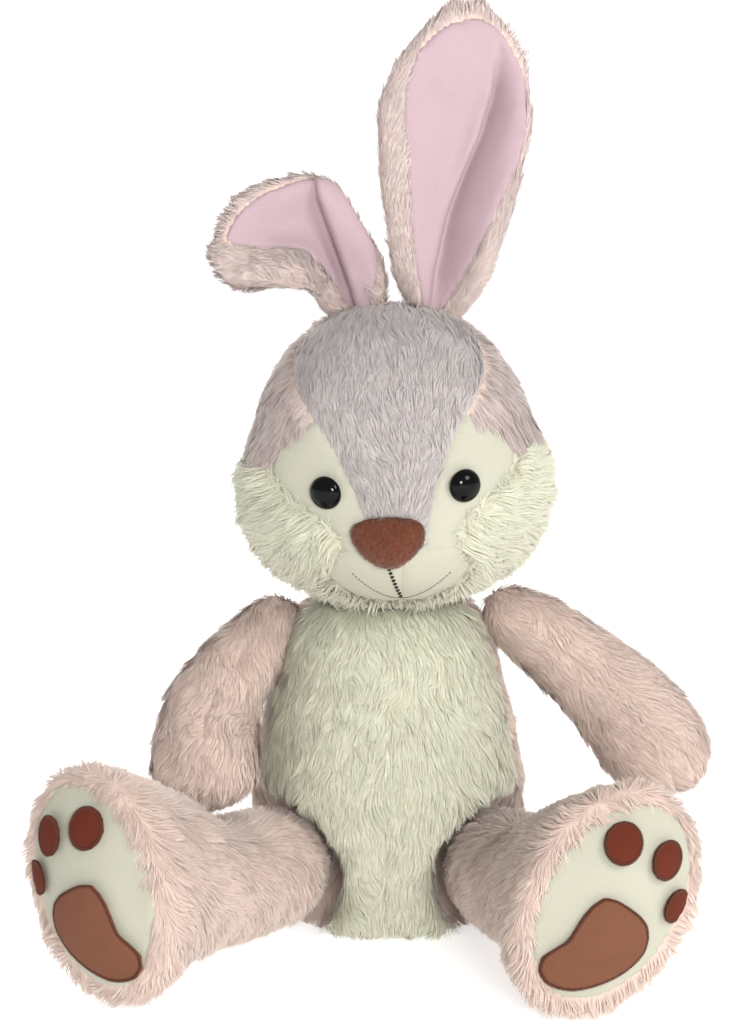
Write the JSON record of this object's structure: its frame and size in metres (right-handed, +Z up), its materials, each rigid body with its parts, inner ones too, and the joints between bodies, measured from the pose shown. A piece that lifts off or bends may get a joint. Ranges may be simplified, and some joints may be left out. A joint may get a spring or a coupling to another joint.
{
  "type": "stuffed bunny rabbit",
  "caption": "Seated plush bunny with one upright and one flopped ear, cream tummy and muzzle, stitched paw pads, resting on a flat seat.",
  "frame": {"origin": "middle of the flat seat, on the surface the toy sits on", "axes": "+Z up through the head, the face looks along -Y, +X is the toy's own left"},
  "size_m": [0.2673, 0.2282, 0.3693],
  "materials": {
    "pink_fur": "dusty pink long pile plush",
    "grey_pink_fur": "grey pink plush",
    "cream_fur": "cream long pile plush",
    "cream_velour": "short smooth cream velour",
    "ear_lining": "smooth pale pink velour",
    "rust_applique": "short rust brown velour, satin stitched edge",
    "brown_applique": "short mid brown velour, satin stitched edge",
    "nose_velvet": "short brown velvet",
    "thread": "dark embroidery thread",
    "eye_black": "glossy black moulded plastic",
    "washer_plastic": "plain white plastic",
    "filling": "loose white polyester fibre"
  },
  "bodies": {
    "torso": {"tummy_panel_left": "cream_fur", "tummy_panel_right": "cream_fur", "back_panel_left": "pink_fur", "back_panel_right": "pink_fur", "seat_panel": "pink_fur", "torso_filling": "filling", "tail_pompom": "cream_fur"},
    "head": {"forehead_blaze": "grey_pink_fur", "face_patch_left": "cream_velour", "muzzle_patch_left": "cream_velour", "cheek_left": "cream_fur", "chin_left": "cream_fur", "head_side_left": "pink_fur", "face_patch_right": "cream_velour", "muzzle_patch_right": "cream_velour", "cheek_right": "cream_fur", "chin_right": "cream_fur", "head_side_right": "pink_fur", "head_back": "pink_fur", "head_filling": "filling", "eye_left": "eye_black", "eye_washer_left": "washer_plastic", "eye_right": "eye_black", "eye_washer_right": "washer_plastic", "nose": "nose_velvet", "mouth_stitching": "thread"},
    "ear_left": {"ear_left_outer": "pink_fur", "ear_left_lining": "ear_lining"},
    "ear_right": {"ear_right_outer": "pink_fur", "ear_right_lining": "ear_lining"},
    "arm_left": {"arm_left_outer_panel": "pink_fur", "arm_left_inner_panel": "pink_fur", "arm_left_filling": "filling"},
    "arm_right": {"arm_right_outer_panel": "pink_fur", "arm_right_inner_panel": "pink_fur", "arm_right_filling": "filling"},
    "leg_left": {"leg_left_outer_panel": "pink_fur", "leg_left_inner_panel": "pink_fur", "leg_left_filling": "filling", "sole_left": "cream_velour", "toe_pad_inner_left": "rust_applique", "toe_pad_middle_left": "rust_applique", "toe_pad_outer_left": "rust_applique", "heel_pad_left": "brown_applique"},
    "leg_right": {"leg_right_outer_panel": "pink_fur", "leg_right_inner_panel": "pink_fur", "leg_right_filling": "filling", "sole_right": "cream_velour", "toe_pad_inner_right": "rust_applique", "toe_pad_middle_right": "rust_applique", "toe_pad_outer_right": "rust_applique", "heel_pad_right": "brown_applique"}
  },
  "joints": [
    {"name": "head_nod", "type": "hinge", "parent": "torso", "child": "head", "pos_m": [0, 0, 0.131], "axis": [1, 0, 0], "range_deg": [-10, 8], "stiffness_Nm_per_rad": 0.9},
    {"name": "ear_left_tilt", "type": "hinge", "parent": "head", "child": "ear_left", "pos_m": [0.021, 0.002, 0.26], "axis": [1, 0, 0], "range_deg": [-20, 45], "stiffness_Nm_per_rad": 0.06},
    {"name": "ear_right_tilt", "type": "hinge", "parent": "head", "child": "ear_right", "pos_m": [-0.018, 0.002, 0.26], "axis": [1, 0, 0], "range_deg": [-15, 30], "stiffness_Nm_per_rad": 0.06},
    {"name": "arm_left_lift", "type": "hinge", "parent": "torso", "child": "arm_left", "pos_m": [0.059, -0.003, 0.116], "axis": [0, -1, 0], "range_deg": [-12, 50], "stiffness_Nm_per_rad": 0.25},
    {"name": "arm_right_lift", "type": "hinge", "parent": "torso", "child": "arm_right", "pos_m": [-0.059, -0.003, 0.116], "axis": [0, 1, 0], "range_deg": [0, 75], "stiffness_Nm_per_rad": 0.25},
    {"name": "leg_left_spread", "type": "hinge", "parent": "torso", "child": "leg_left", "pos_m": [0.044, -0.026, 0.029], "axis": [0, 0, 1], "range_deg": [-10, 20], "stiffness_Nm_per_rad": 0.6},
    {"name": "leg_right_spread", "type": "hinge", "parent": "torso", "child": "leg_right", "pos_m": [-0.044, -0.026, 0.029], "axis": [0, 0, -1], "range_deg": [-20, 6], "stiffness_Nm_per_rad": 0.6}
  ]
}
